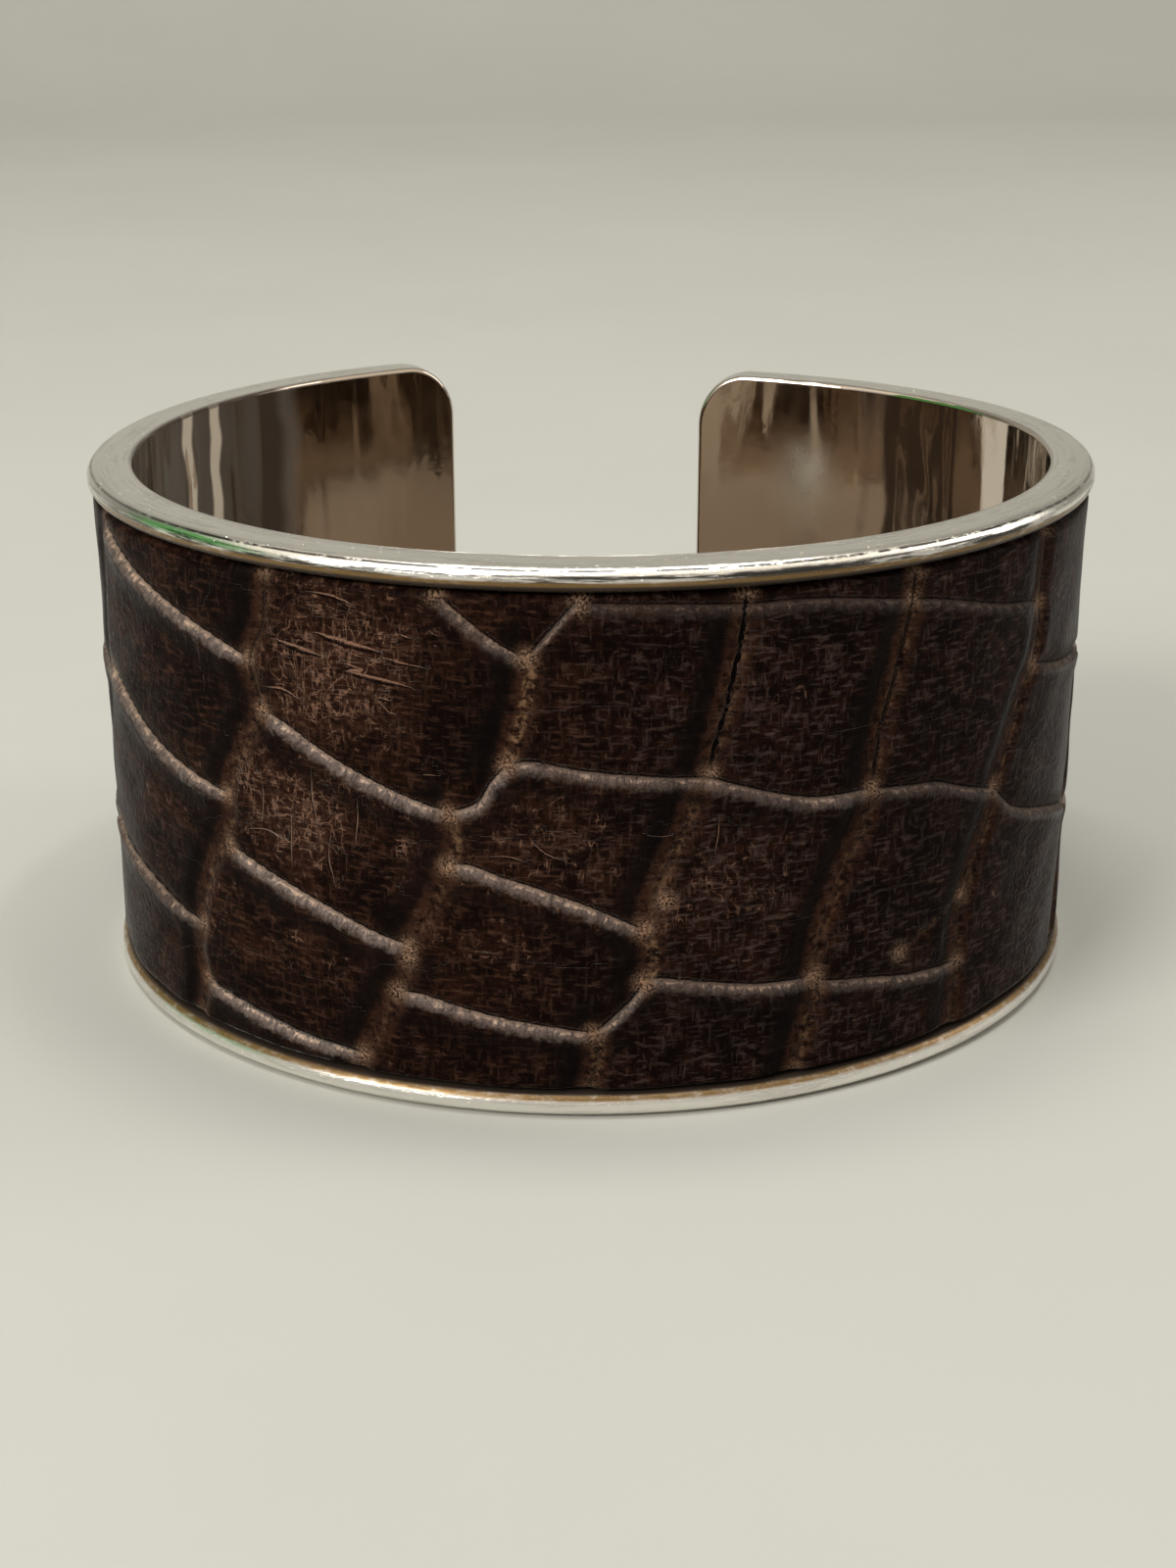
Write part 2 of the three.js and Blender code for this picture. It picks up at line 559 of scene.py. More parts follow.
# The painted dark reflection inside on the left, a dull brown, from its left end to where it fades out,
# and the pale streaks of painted reflection left through it. Columns of the streaks: along, half width.
dark_reflection_start = -71.0
dark_reflection_fading = -46.0
dark_reflection_end = -38.0
pale_reflection_streaks = [(-57.6, 0.9), (-61.2, 0.8)]

# Soft round hollows left in the arms' inner faces by the bending, hazed and painted pale in the middle as
# a painted reflection. Columns: along, height, radius, haze and painted paleness.
arm_hollows = [(-78.2, 26.6, 2.6, 0.12), (74.6, 26.3, 2.7, 0.80)]
hollow_flatness = 0.85

# Places round the rim, as depth and inward together: the crest, and where the painted dark line under it
# starts
crest_roll = 2.80
under_crest_roll = 3.10
rim_polish_height = 0.045
rim_rub_height = 0.018
nick_depth = 0.020
inner_wave_height = 0.34
hollow_depth = 0.24


def add_spot(place, along, height, reach):
    offset = add_node(place.id_data, "ShaderNodeVectorMath", operation="SUBTRACT")
    put(place, offset.inputs[0])
    offset.inputs[1].default_value = (along, height, 0)
    flat = add_node(place.id_data, "ShaderNodeVectorMath", operation="MULTIPLY")
    put(offset.outputs["Vector"], flat.inputs[0])
    flat.inputs[1].default_value = (1, hollow_flatness, 0)
    length = add_node(place.id_data, "ShaderNodeVectorMath", operation="LENGTH")
    put(flat.outputs["Vector"], length.inputs[0])
    return between(Amount(length.outputs["Value"]), 0.0, reach, 1.0, 0.0)


def make_polished_steel():
    material, tree, surface = new_material("polished_steel")
    along, height_up, depth = read_attribute(tree, "strip_place")
    inward = read_attribute(tree, "rim_place")[0]
    place = make_place(along, height_up, depth)
    inside = between(depth, 0.08, 0.30, 1.0, 0.0)
    outside = 1.0 - inside
    from_front = abs(along)

    polish_lines = noise(make_place(along * 0.16, inward * 2.4, depth * 2.4), 1.0, 6.0, 0.7)
    rubs = noise(stretch(place, (1.1, 1.8, 1.8), 0.5), 1.0, 6.0, 0.75)
    nicks = between(noise(place, 2.6, 3.0, 0.6), 0.66, 0.72)
    scuffs = between(rubs, 0.52, 0.68) * outside

    # The bare metal, its inside painted browner than the rim as a painted reflection, and painted lighter
    # inside the right arm
    inner_colour = blend_colour(between(along, 34.0, 54.0), inner_steel_painted_reflection, lighter_inner_painted_reflection)
    colour = blend_colour(inside, rim_steel, inner_colour)
    dulled = between(polish_lines, 0.51, 0.60) * outside
    colour = blend_colour(dulled * 0.32, colour, worn_steel)

    # Two painted dark lines along the top rim, painted reflection: one on its crest, one under it
    roll = depth + inward
    crest_line = between(abs(roll - crest_roll), 0.05, 0.17, 1.0, 0.0) * between(rubs, 0.40, 0.48)
    under_crest = between(roll, under_crest_roll, under_crest_roll + 0.20)
    under_crest = under_crest * between(polish_lines, 0.42, 0.54)
    painted_dark_rim_lines = larger(crest_line, under_crest) * outside * between(height_up, 14.0, 18.0)
    painted_dark_rim_lines = painted_dark_rim_lines * between(from_front, 24.0, 36.0, 0.96, 0.6)
    colour = blend_colour(painted_dark_rim_lines, colour, dark_reflection_line_steel)

    # Painted dark reflection inside on the left, dull brown and less metallic, with pale streaks of
    # painted reflection through it
    sway = noise(stretch(place, (0.05, 0.11, 0)), 1.0, 2.0, 0.5)
    swayed = along + sway * 5.0
    painted_dark_reflection = between(swayed, dark_reflection_start, dark_reflection_start + 3.0)
    painted_dark_reflection = painted_dark_reflection * between(swayed, dark_reflection_fading, dark_reflection_end, 1.0, 0.0) * inside
    for streak, half_width in pale_reflection_streaks:
        painted_dark_reflection = painted_dark_reflection * between(abs(swayed - streak), 0.5 * half_width, half_width)
    colour = blend_colour(painted_dark_reflection * 0.95, colour, painted_dark_reflection_steel)

    # The arms' hollows, hazed in the middle and painted paler there as a painted reflection
    pale_reflection_spots = [add_spot(place, s, z, 1.7 * radius) * reflection_paleness for s, z, radius, reflection_paleness in arm_hollows]
    hollows = [add_spot(place, s, z, 2.9 * radius) for s, z, radius, _ in arm_hollows]
    haze_and_pale_reflection = larger(*pale_reflection_spots) * inside
    colour = blend_colour(haze_and_pale_reflection, colour, hollow_pale_reflection_steel)

    # Painted reflection of the leather, amber, on the rim's edge beside it, and painted shade in the
    # corner against it, narrower along the bottom rim
    pocket_side = inward - between(height_up, 12.0, 20.0, 0.30, 0.0)
    pocket_reflection_band = between(pocket_side, 0.68, 0.92) * between(depth, 1.3, 1.7)
    colour = blend_colour(pocket_reflection_band * between(rubs, 0.30, 0.55, 0.75, 1.0), colour, amber_painted_reflection)
    # Painted shade: a dark line in the corner where the rim meets the leather
    deep_pocket_shade = between(pocket_side, 0.98, 1.16) * between(depth, 0.9, 1.1)
    colour = blend_colour(deep_pocket_shade, colour, pocket_painted_shade)
    put(colour, surface.inputs["Base Color"])
    # Less metallic where the amber painted reflection and the painted dark reflection lie
    put(1.0 - larger(pocket_reflection_band * 0.6, painted_dark_reflection * 0.75), surface.inputs["Metallic"])
    surface.inputs["Specular IOR Level"].default_value = 0.15

    gloss = between(polish_lines, 0.40, 0.64, 0.070, 0.24) + scuffs * 0.10
    inner_gloss = add_patches(place, 0.35, 0.40, 0.65) * 0.050 + 0.060 + haze_and_pale_reflection * 0.30
    put(gloss * outside + inner_gloss * inside, surface.inputs["Roughness"])

    # Waves inside, weaker at the arms' ends, and the marks on the rim
    waves = noise(stretch(place, (0.17, 0.055, 0)), 1.0, 1.0, 0.4, 0.6)
    waves = waves * inner_wave_height * between(from_front, 64.0, 72.0, 1.0, 0.35)
    ripples = noise(stretch(place, (0.36, 0.030, 0)), 1.0, 1.0, 0.4, 0.3)
    on_left = between(along, dark_reflection_start, dark_reflection_start + 5.0, 0.0, 0.10)
    on_left = on_left * between(along, dark_reflection_fading - 6.0, dark_reflection_fading, 1.0, 0.0)
    waves = waves + ripples * (on_left + 0.12) + larger(*hollows) * hollow_depth
    fine_waves = noise(place, 0.9, 2.0) * 0.006
    marks = polish_lines * rim_polish_height + rubs * rim_rub_height - nicks * nick_depth
    show_height(surface, (waves + fine_waves) * inside + marks * outside)
    return material


steel_band = make_steel_band()
steel_band.data.materials.append(make_polished_steel())
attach(steel_band, "root")
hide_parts("steel_cuff")


# Leather inlay. One strip of brown hide embossed with large reptile scales, burnished dark and with
# painted shade, worn pale and with painted highlights along the scales' lips, pared at its edge and glued
# into the band's pocket.
hide_inset = rim_height + 0.12 * mm
hide_corner_radius = 2.0 * mm
hide_back = 1.5 * mm
hide_face = 2.52 * mm
hide_edge_round = 0.45 * mm
hide_columns = 660
hide_rows = 118
hide_back_step = 2.0 * mm
hide_to_outline = 1.012

# The embossed seams between the scales, charted on the flat strip in millimetres: along from the middle
# of the front, and height. Each is drawn so that the raised lip is on its right-hand side.
# Columns: width of the lip, wear and painted highlight of the lip, darkness of the crack and its painted
# shade, points.
seams = {
    "row": [
        (0.85, 0.90, 0.5, ((-38.9, 30.9), (-36, 29.9), (-33.2, 29.0), (-30, 28.2), (-27, 27.4),
            (-24.7, 26.8), (-22.4, 26.1))),
        (0.85, 0.90, 0.5, ((-40.1, 21.7), (-37.5, 20.9), (-35.5, 20.2), (-33.5, 19.4), (-31, 18.6),
            (-28.5, 18.0), (-24.7, 17.3))),
        (0.70, 0.50, 0.5, ((-42.4, 10.7), (-38.5, 9.8), (-35, 9.4), (-32, 8.9), (-29.7, 8.4),
            (-27.7, 8.1))),
        (0.85, 1.00, 0.6, ((-24.6, 14.1), (-22.7, 13.5), (-20, 12.65), (-17.25, 11.75), (-14.75, 10.85),
            (-12.4, 10.2))),
        (0.80, 1.00, 0.9, ((-27.6, 4.5), (-24.7, 4.0), (-22, 3.6), (-19.5, 3.15), (-17, 2.95),
            (-15.5, 2.7))),
        (0.95, 0.85, 0.5, ((-21.4, 23.2), (-19.75, 22.6), (-17.25, 21.35), (-14.75, 20.3),
            (-12.25, 19.4), (-9.8, 18.7))),
        (0.85, 0.75, 0.5, ((-9.8, 15.5), (-8.6, 15.6), (-6.8, 15.0), (-4.8, 14.4), (-2.3, 13.5),
            (-0.3, 12.6), (1.2, 11.8))),
        (0.75, 0.75, 0.5, ((-13.1, 7.2), (-11.5, 7.2), (-9, 6.6), (-6.5, 6.1), (-3.8, 5.7),
            (-1.6, 5.35))),
        (0.60, 0.15, 0.5, ((-2.4, 31.1), (2, 31.0), (6.7, 30.75), (10, 30.75), (13, 30.45),
            (17.2, 29.8))),
        (0.60, 0.12, 0.5, ((17.2, 29.8), (20, 29.3), (24.7, 28.1), (28, 27.5), (29.2, 27.1))),
        (0.80, 0.50, 0.6, ((-6.4, 21.7), (-5, 22.0), (-2.2, 21.5), (0.5, 21.2), (3, 20.95), (4.9, 20.8),
            (6.5, 20.3), (9, 19.5), (11.5, 18.95), (15, 18.9))),
        (0.65, 0.26, 0.7, ((15, 18.9), (17.3, 18.6), (19.8, 18.3), (22.3, 17.4), (25.2, 16.5))),
        (0.65, 0.25, 0.5, ((25.2, 16.5), (27.3, 14.8), (29.8, 13.8), (32.8, 12.9), (35, 12.2),
            (38.3, 11.2))),
        (0.60, 0.18, 0.5, ((29.0, 23.4), (32.7, 22.5), (35.2, 22.0), (40.5, 21.2))),
        (0.75, 0.45, 0.6, ((1.3, 8.5), (2.2, 8.75), (5.3, 8.25), (8.3, 7.8), (11.5, 7.7))),
        (0.65, 0.28, 0.5, ((11.7, 7.5), (13, 7.2), (15.3, 6.9), (18.5, 6.3), (22.5, 6.0))),
        (0.50, 0.65, 0.5, ((-9.8, 18.7), (-8.1, 19.4), (-7.3, 20.7), (-6.4, 21.7))),
        (0.35, 0.55, 0.8, ((-1.6, 5.3), (0, 6.8), (1.3, 8.4))),
        (0.50, 0.45, 0.3, ((-10.2, 31.4), (-8.5, 30.0), (-6.8, 28.75), (-5.3, 27.9))),
        (0.22, 0.32, 0.7, ((-5.2, 28.0), (-4.2, 29.3), (-2.8, 30.9), (-2.3, 31.5))),
    ],
    "wrinkle": [
        (0.25, 0.75, 0.0, ((-17.8, 30.8), (-16.3, 30.75), (-15.0, 30.4))),
        (0.30, 0.90, 0.0, ((-20.2, 27.7), (-18.7, 27.5), (-17.1, 27.2))),
        (0.32, 1.00, 0.0, ((-17.5, 28.5), (-15.5, 28.2), (-13.5, 27.9))),
        (0.22, 0.60, 0.0, ((-12.4, 29.0), (-11.4, 28.8))),
        (0.30, 0.85, 0.0, ((-15.6, 26.5), (-13.6, 26.3), (-11.7, 26.0))),
        (0.25, 0.70, 0.0, ((-21.3, 24.7), (-19.9, 24.8), (-18.7, 24.4))),
        (0.22, 0.70, 0.0, ((-13.9, 25.2), (-12.8, 25.1))),
        (0.25, 0.65, 0.0, ((-13.5, 27.6), (-12.2, 27.35), (-10.9, 27.2))),
        (0.22, 0.60, 0.0, ((-15.8, 26.95), (-14.4, 26.75))),
        (0.22, 0.55, 0.0, ((-11.2, 20.9), (-10.2, 20.95))),
        (0.20, 0.55, 0.0, ((-23.0, 15.6), (-21.6, 15.9), (-20.4, 15.6), (-19.7, 15.5))),
        (0.22, 0.55, 0.0, ((-5.0, 17.3), (-4.2, 16.6), (-3.3, 16.3))),
        (0.22, 0.50, 0.0, ((-7.5, 16.3), (-6.4, 16.35), (-5.3, 16.1))),
        (0.20, 0.50, 0.0, ((1.2, 17.8), (2.2, 17.5), (3.0, 17.6))),
        (0.16, 0.75, 0.0, ((-18.1, 20.2), (-18.1, 18.6), (-17.8, 16.9))),
        (0.15, 0.75, 0.0, ((-19.6, 17.6), (-19.7, 15.9), (-19.8, 14.2))),
        (0.15, 0.70, 0.0, ((-17.0, 16.2), (-17.1, 15.0), (-16.8, 13.4))),
        (0.16, 0.75, 0.0, ((-15.1, 19.0), (-15.2, 17.6), (-15.4, 16.1))),
        (0.14, 0.70, 0.0, ((-21.6, 18.8), (-21.7, 17.4), (-21.9, 16.2))),
        (0.20, 0.55, 0.0, ((5.5, 18.6), (5.4, 17.4), (5.2, 16.4))),
    ],
    "crease": [
        (0.25, 0.40, 0.4, ((1.2, 11.9), (2.5, 13.6))),
        (0.25, 0.30, 0.4, ((17.5, 8.0), (19.7, 9.2), (22.7, 10.4))),
    ],
    "upright": [
        (0.60, 0.30, 0.1, ((-24.7, 17.3), (-23.7, 19.4), (-22.5, 21.4), (-21.5, 23.2))),
        (0.60, 0.30, 0.6, ((-21.5, 23.2), (-22.3, 26.1), (-21.2, 28.4), (-20.9, 31.5))),
        (0.60, 0.30, 0.1, ((-27.7, 8.1), (-27.4, 10), (-26.3, 12.3), (-25, 14.7), (-24.4, 16),
            (-24.7, 17.3))),
        (0.50, 0.25, 0.1, ((-28.6, 1.5), (-27.7, 4.4), (-28.1, 6.3), (-27.7, 8.1))),
        (0.55, 0.75, 0.1, ((-6.3, 21.8), (-5.9, 23.4), (-5.3, 25.4), (-5.1, 27.0), (-5.2, 28.0))),
        (0.55, 0.50, 0.1, ((-9.8, 15.4), (-9.3, 16.8), (-9.7, 18.6))),
        (0.55, 0.20, 0.1, ((-12.4, 9.4), (-12, 10.7), (-11.1, 12.2), (-10.3, 14.0), (-9.9, 15.4))),
        (0.50, 0.20, 0.1, ((-15.8, 1.5), (-14.9, 3.5), (-13.9, 5.5), (-13.1, 7.1), (-12.5, 8.4),
            (-12.4, 9.6))),
        (0.40, 0.30, 1.0, ((4.9, 21.0), (5.1, 22.2), (5.75, 24.7), (6.45, 28.0), (6.75, 30.7),
            (6.8, 31.6))),
        (0.50, 0.35, 0.3, ((1.3, 11.9), (2.0, 14.2), (2.8, 16.2), (3.6, 18), (4.3, 20), (4.9, 21.0))),
        (0.45, 0.75, 0.3, ((1.4, 8.6), (1.85, 9.6), (1.75, 10.8), (1.2, 11.8))),
        (0.45, 0.55, 0.5, ((-1.8, 1.5), (-1.35, 3.8), (-1.5, 5.3))),
        (0.50, 0.25, 0.3, ((11.6, 7.8), (12.1, 10.8), (13, 13.2), (13.8, 15.2), (14.7, 17),
            (15.0, 18.9))),
        (0.45, 0.30, 0.8, ((15.0, 18.9), (15.3, 21), (15.6, 23), (16.2, 25), (16.8, 27.4), (17.3, 29.7),
            (17.5, 31.6))),
        (0.50, 0.45, 0.4, ((10.5, 1.5), (11, 3.8), (11.6, 5.7), (11.9, 7.1), (11.6, 7.8))),
        (0.50, 0.40, 0.5, ((25.2, 16.5), (26.2, 18.4), (27.2, 20.4), (28, 22.1), (28.9, 23.3),
            (29.4, 24.5), (29.6, 26), (29.2, 27.1))),
        (0.45, 0.15, 0.4, ((29.2, 27.1), (29.6, 29.2), (29.8, 31.6))),
        (0.55, 0.30, 0.4, ((22.3, 1.5), (22.5, 3.5), (22.5, 6.0), (22.6, 8.4), (23, 10.2), (23.8, 12.5),
            (24.9, 14.6), (25.2, 16.5))),
    ],
}

# Where the dye is rubbed to a paler brown, or burnished nearly black, by hand.
# Columns: along, height, reach along, reach in height, paler (above zero) or darker.
rubbed_places = [
    (-16, 27.5, 5.5, 4.0, 0.85), (-18, 24.5, 4.0, 2.0, 0.45), (-19, 17.5, 4.5, 2.6, 0.75),
    (-4, 17.5, 5.0, 3.0, 0.45), (6, 14.5, 5.0, 3.0, 0.4), (8, 26, 4.0, 3.0, 0.2),
    (-7, 10.5, 4.0, 2.0, 0.3), (-20, 8.5, 4.0, 2.5, 0.25), (-18, 16.5, 2.8, 2.6, 0.45),
    (-31, 15, 3.5, 3.0, 0.2), (-23, 19.5, 1.6, 4.0, 0.55), (-11, 16.5, 1.8, 2.0, 0.6),
    (-12, 14, 1.5, 3.0, 0.45), (-14, 6, 1.3, 3.0, 0.3), (-26.3, 11.5, 1.5, 3.5, 0.45),
    (2.4, 13.5, 1.8, 2.0, 0.45), (20, 22, 4.0, 4.0, -0.25), (-9, 24, 2.5, 3.0, -0.75),
    (-26, 24, 2.0, 3.0, -0.65), (-31, 21.8, 3.0, 2.0, -0.55), (-14.5, 15, 1.8, 2.5, -0.7),
    (1, 28.5, 4.0, 1.3, -0.55), (1.5, 18.0, 1.5, 2.0, -0.6), (12.5, 28.5, 4.0, 1.5, -0.5),
    (-2.5, 8.5, 2.0, 2.5, -0.6), (-24, 29.5, 2.0, 1.8, -0.75), (-29.5, 12, 1.8, 2.5, -0.4),
    (19, 12, 4.0, 4.5, -0.35), (6, 5, 4.0, 2.5, -0.4), (-22, 5, 5.0, 1.6, -0.45),
    (33, 17, 3.5, 5.0, -0.15), (-8, 3.6, 5.0, 1.5, -0.4), (14, 22, 3.0, 3.0, -0.3),
]

# The arms, which the photograph hides, carry on with squarer scales. Columns: along at the strip's foot,
# along at its top, and the heights of the rows that run from this upright to the next one. Their looks
# have the charted seams' columns: width of the lip, wear and painted highlight of the lip, darkness of the
# crack with its painted shade.
arm_uprights = [
    (-80.5, -76.0, (21.5, 11.0)),
    (-69.0, -64.5, (26.5, 16.5, 6.5)),
    (-57.0, -52.0, (22.0, 11.8)),
    (-44.6, -38.9, ()),
    (37.6, 42.0, (21.0, 10.6)),
    (49.6, 53.6, (26.0, 16.0, 6.2)),
    (60.6, 64.2, (21.2, 10.9)),
    (71.8, 75.2, (26.2, 16.2, 6.4)),
    (84.0, 87.0, ()),
]
arm_row_look = (0.70, 0.5, 0.5)
arm_upright_look = (0.55, 0.3, 0.4)
arm_row_fall = 1.5
arm_bow = 0.5
arm_foot = 1.5
arm_top = 31.6


def on_upright(foot, top, height):
    share = (height - arm_foot) / (arm_top - arm_foot)
    return foot + (top - foot) * share + arm_bow * math.sin(math.pi * share), height


def charted_seams():
    return [(kind, *seam) for kind, rows in seams.items() for seam in rows]


def arm_seams():
    made = []
    for (foot, top, heights), (next_foot, next_top, _) in zip(arm_uprights, arm_uprights[1:]):
        for height in heights:
            start = on_upright(foot, top, height)
            end = on_upright(next_foot, next_top, height - arm_row_fall)
            middle = ((start[0] + end[0]) / 2, height - arm_row_fall * 0.25)
            made.append(("row", *arm_row_look, (start, middle, end)))
    for foot, top, _ in arm_uprights:
        heights = [arm_foot + (arm_top - arm_foot) * step / 4 for step in range(5)]
        points = [on_upright(foot, top, height) for height in heights]
        made.append(("upright", *arm_upright_look, points))
    return made


# A seam's points joined by a smooth curve through all of them
def smooth_line(points, steps=6):
    points = np.array(points, float)
    if len(points) < 3:
        return points
    padded = np.vstack([2 * points[0] - points[1], points, 2 * points[-1] - points[-2]])
    line = []
    for a, b, c, d in zip(padded, padded[1:], padded[2:], padded[3:]):
        for step in range(steps):
            t = step / steps
            slope = (c - a) * t
            bend = (2 * a - 5 * b + 4 * c - d) * t**2
            twist = (3 * b - a - 3 * c + d) * t**3
            line.append(0.5 * (2 * b + slope + bend + twist))
    line.append(points[-1])
    return np.array(line)


# Each place's distance from a line, above zero on the line's right-hand side, and how far along it lies
def measure_from(line, places):
    best = np.full(len(places), 99.0)
    side = np.ones(len(places))
    along = np.zeros(len(places))
    travelled = 0.0
    for start, end in zip(line, line[1:]):
        run = end - start
        length = math.hypot(*run)
        offset = places - start
        share = np.clip(offset @ run / length**2, 0, 1)
        away = np.hypot(*(offset - share[:, None] * run).T)
        nearer = away < best
        best = np.where(nearer, away, best)
        cross = run[0] * offset[:, 1] - run[1] * offset[:, 0]
        side = np.where(nearer, np.where(cross > 0, -1.0, 1.0), side)
        along = np.where(nearer, travelled + share * length, along)
        travelled += length
    return best * side, along


def ease(value, start, end):
    share = np.clip((value - start) / (end - start), 0, 1)
    return share * share * (3 - 2 * share)


# How deep the emboss is, and the masks that follow it, all from the distance to the nearest seam: signed
# and along a row, across an upright, and a wrinkle's in widths of its own
seam_reach = 4.0
row_upper_drop = 0.22
row_lip = 0.15
upright_depth = 0.24
upright_band = 0.75
upright_shoulder = 2.0
crease_depth = 0.08
crease_width = 0.18
crack_cut = 0.12
crack_width = 0.14
junction_reach = 0.50
swell = 0.05
wrinkle_reach = 90.0
mask_names = (
    "signed", "along", "crack", "across", "split", "valley", "lip",
    "burnish_and_painted_shade", "warm", "pale", "thread", "junction", "wrinkle",
)


def emboss(places):
    masks = {name: np.zeros(len(places)) for name in mask_names}
    masks["signed"] += seam_reach
    masks["across"] += seam_reach
    masks["wrinkle"] += wrinkle_reach
    for kind, width, worn, dark_crack, points in charted_seams() + arm_seams():
        line = smooth_line(points)
        near = np.all((places > line.min(0) - seam_reach) & (places < line.max(0) + seam_reach), axis=1)
        index = np.nonzero(near)[0]
        if not len(index):
            continue
        d, along = measure_from(line, places[index])
        away = np.abs(d)
        cut = -crack_cut * dark_crack * np.exp(-((away / crack_width) ** 2))
        clear_of_ends = ease(along, 0.0, 1.1) * (1 - ease(along, along.max() - 0.7, along.max()))
        up = dark = pale = thread = 0 * d
        if kind == "row":
            upper = -row_upper_drop * np.exp(-((away / 0.5) ** 2))
            lower = -row_upper_drop * (1 - ease(d, 0.0, 0.45 * width))
            down = np.where(d < 0, upper, lower) + cut * 0.5
            crest = row_lip * ease(d, 0, 0.5 * width) * (1 - ease(d, 0.6 * width, width + 1.3))
            up = np.where(d > 0, crest, 0) * (0.25 + 0.75 * clear_of_ends)
            below_lip = ease(d, 1.1 * width, width + 0.5) * (1 - ease(d, width + 0.6, width + 2.0))
            # Burnish and painted shade on the scale just below the lip, where it turns away from the light
            dark = 0.8 * worn * (d > 0) * below_lip
            tan = 0.5 * (d < 0) * (1 - ease(away, 0.1, 0.6))
            # The lip's paleness: wear, and a painted highlight where the lip faces up
            pale = worn * clear_of_ends * (d > -0.3) * (1 - ease(d, width, 1.8 * width))
        elif kind == "upright":
            left = -upright_depth * (1 - ease(away, upright_band, upright_shoulder))
            right = -upright_depth * (1 - ease(away, 0.05, width + 0.35))
            down = np.where(d < 0, left, right) + cut
            up = np.where(d > 0, 0.03 * ease(d, 0, width) * (1 - ease(d, width, width + 1.5)), 0)
            # Painted shade with burnish on the left scale's shoulder beside the upright, where it falls
            # away from the light
            dark = (d < 0) * ease(away, 0.7, 1.1) * (1 - ease(away, 1.5, 2.9))
            tan = (1 - ease(away, 0.55, 1.1)) * np.where(d < 0, 1.0, 0.7)
            thread = worn * (1 - ease(away, 0.15, 0.45))
        elif kind == "wrinkle":
            fade = np.sin(np.pi * np.clip(along / along.max(), 0.03, 0.97)) ** 0.6
            widths_off = d / (0.5 * width * worn * fade)
            widths_off = widths_off * (1 + 0.15 * np.abs(widths_off))
            widths_off = np.clip(widths_off, -wrinkle_reach, wrinkle_reach)
            nearer = np.abs(widths_off) < np.abs(masks["wrinkle"][index])
            masks["wrinkle"][index[nearer]] = widths_off[nearer]
            continue
        else:
            down = -crease_depth * np.exp(-((away / crease_width) ** 2))
            tan = 0.3 * (1 - ease(away, 0.1, 0.35))
            thread = worn * (1 - ease(away, 0.08, 0.22))
        masks["valley"][index] = np.minimum(masks["valley"][index], down)
        made = (("lip", up), ("burnish_and_painted_shade", dark), ("warm", tan), ("pale", pale), ("thread", thread))
        for name, mask in made:
            masks[name][index] = np.maximum(masks[name][index], mask)
        distance, darkness = ("signed", "crack") if kind == "row" else ("across", "split")
        closer = away < np.abs(masks[distance][index])
        chosen = index[closer]
        masks[distance][chosen] = d[closer]
        masks[darkness][chosen] = dark_crack * clear_of_ends[closer]
        if kind == "row":
            masks["along"][chosen] = along[closer]
        for end in (line[0], line[-1]):
            from_end = np.hypot(*(places[index] - end).T)
            spot = np.exp(-((from_end / junction_reach) ** 2))
            masks["junction"][index] = np.maximum(masks["junction"][index], spot)
    s, z = places.T
    wave = swell * np.sin(s * 0.83 + 1.1 * np.sin(z * 0.41)) * np.sin(z * 0.67 + 0.9 * np.sin(s * 0.29))
    rubbed = 0 * s
    for along, height, reach_along, reach_up, tone in rubbed_places:
        rubbed += tone * np.exp(-(((s - along) / reach_along) ** 2) - ((z - height) / reach_up) ** 2)
    masks["rubbed"] = np.clip(rubbed, -1, 1)
    masks["depth"] = masks["valley"] + masks["lip"] + wave * (1 - ease(-masks["valley"], 0.02, 0.15))
    return masks


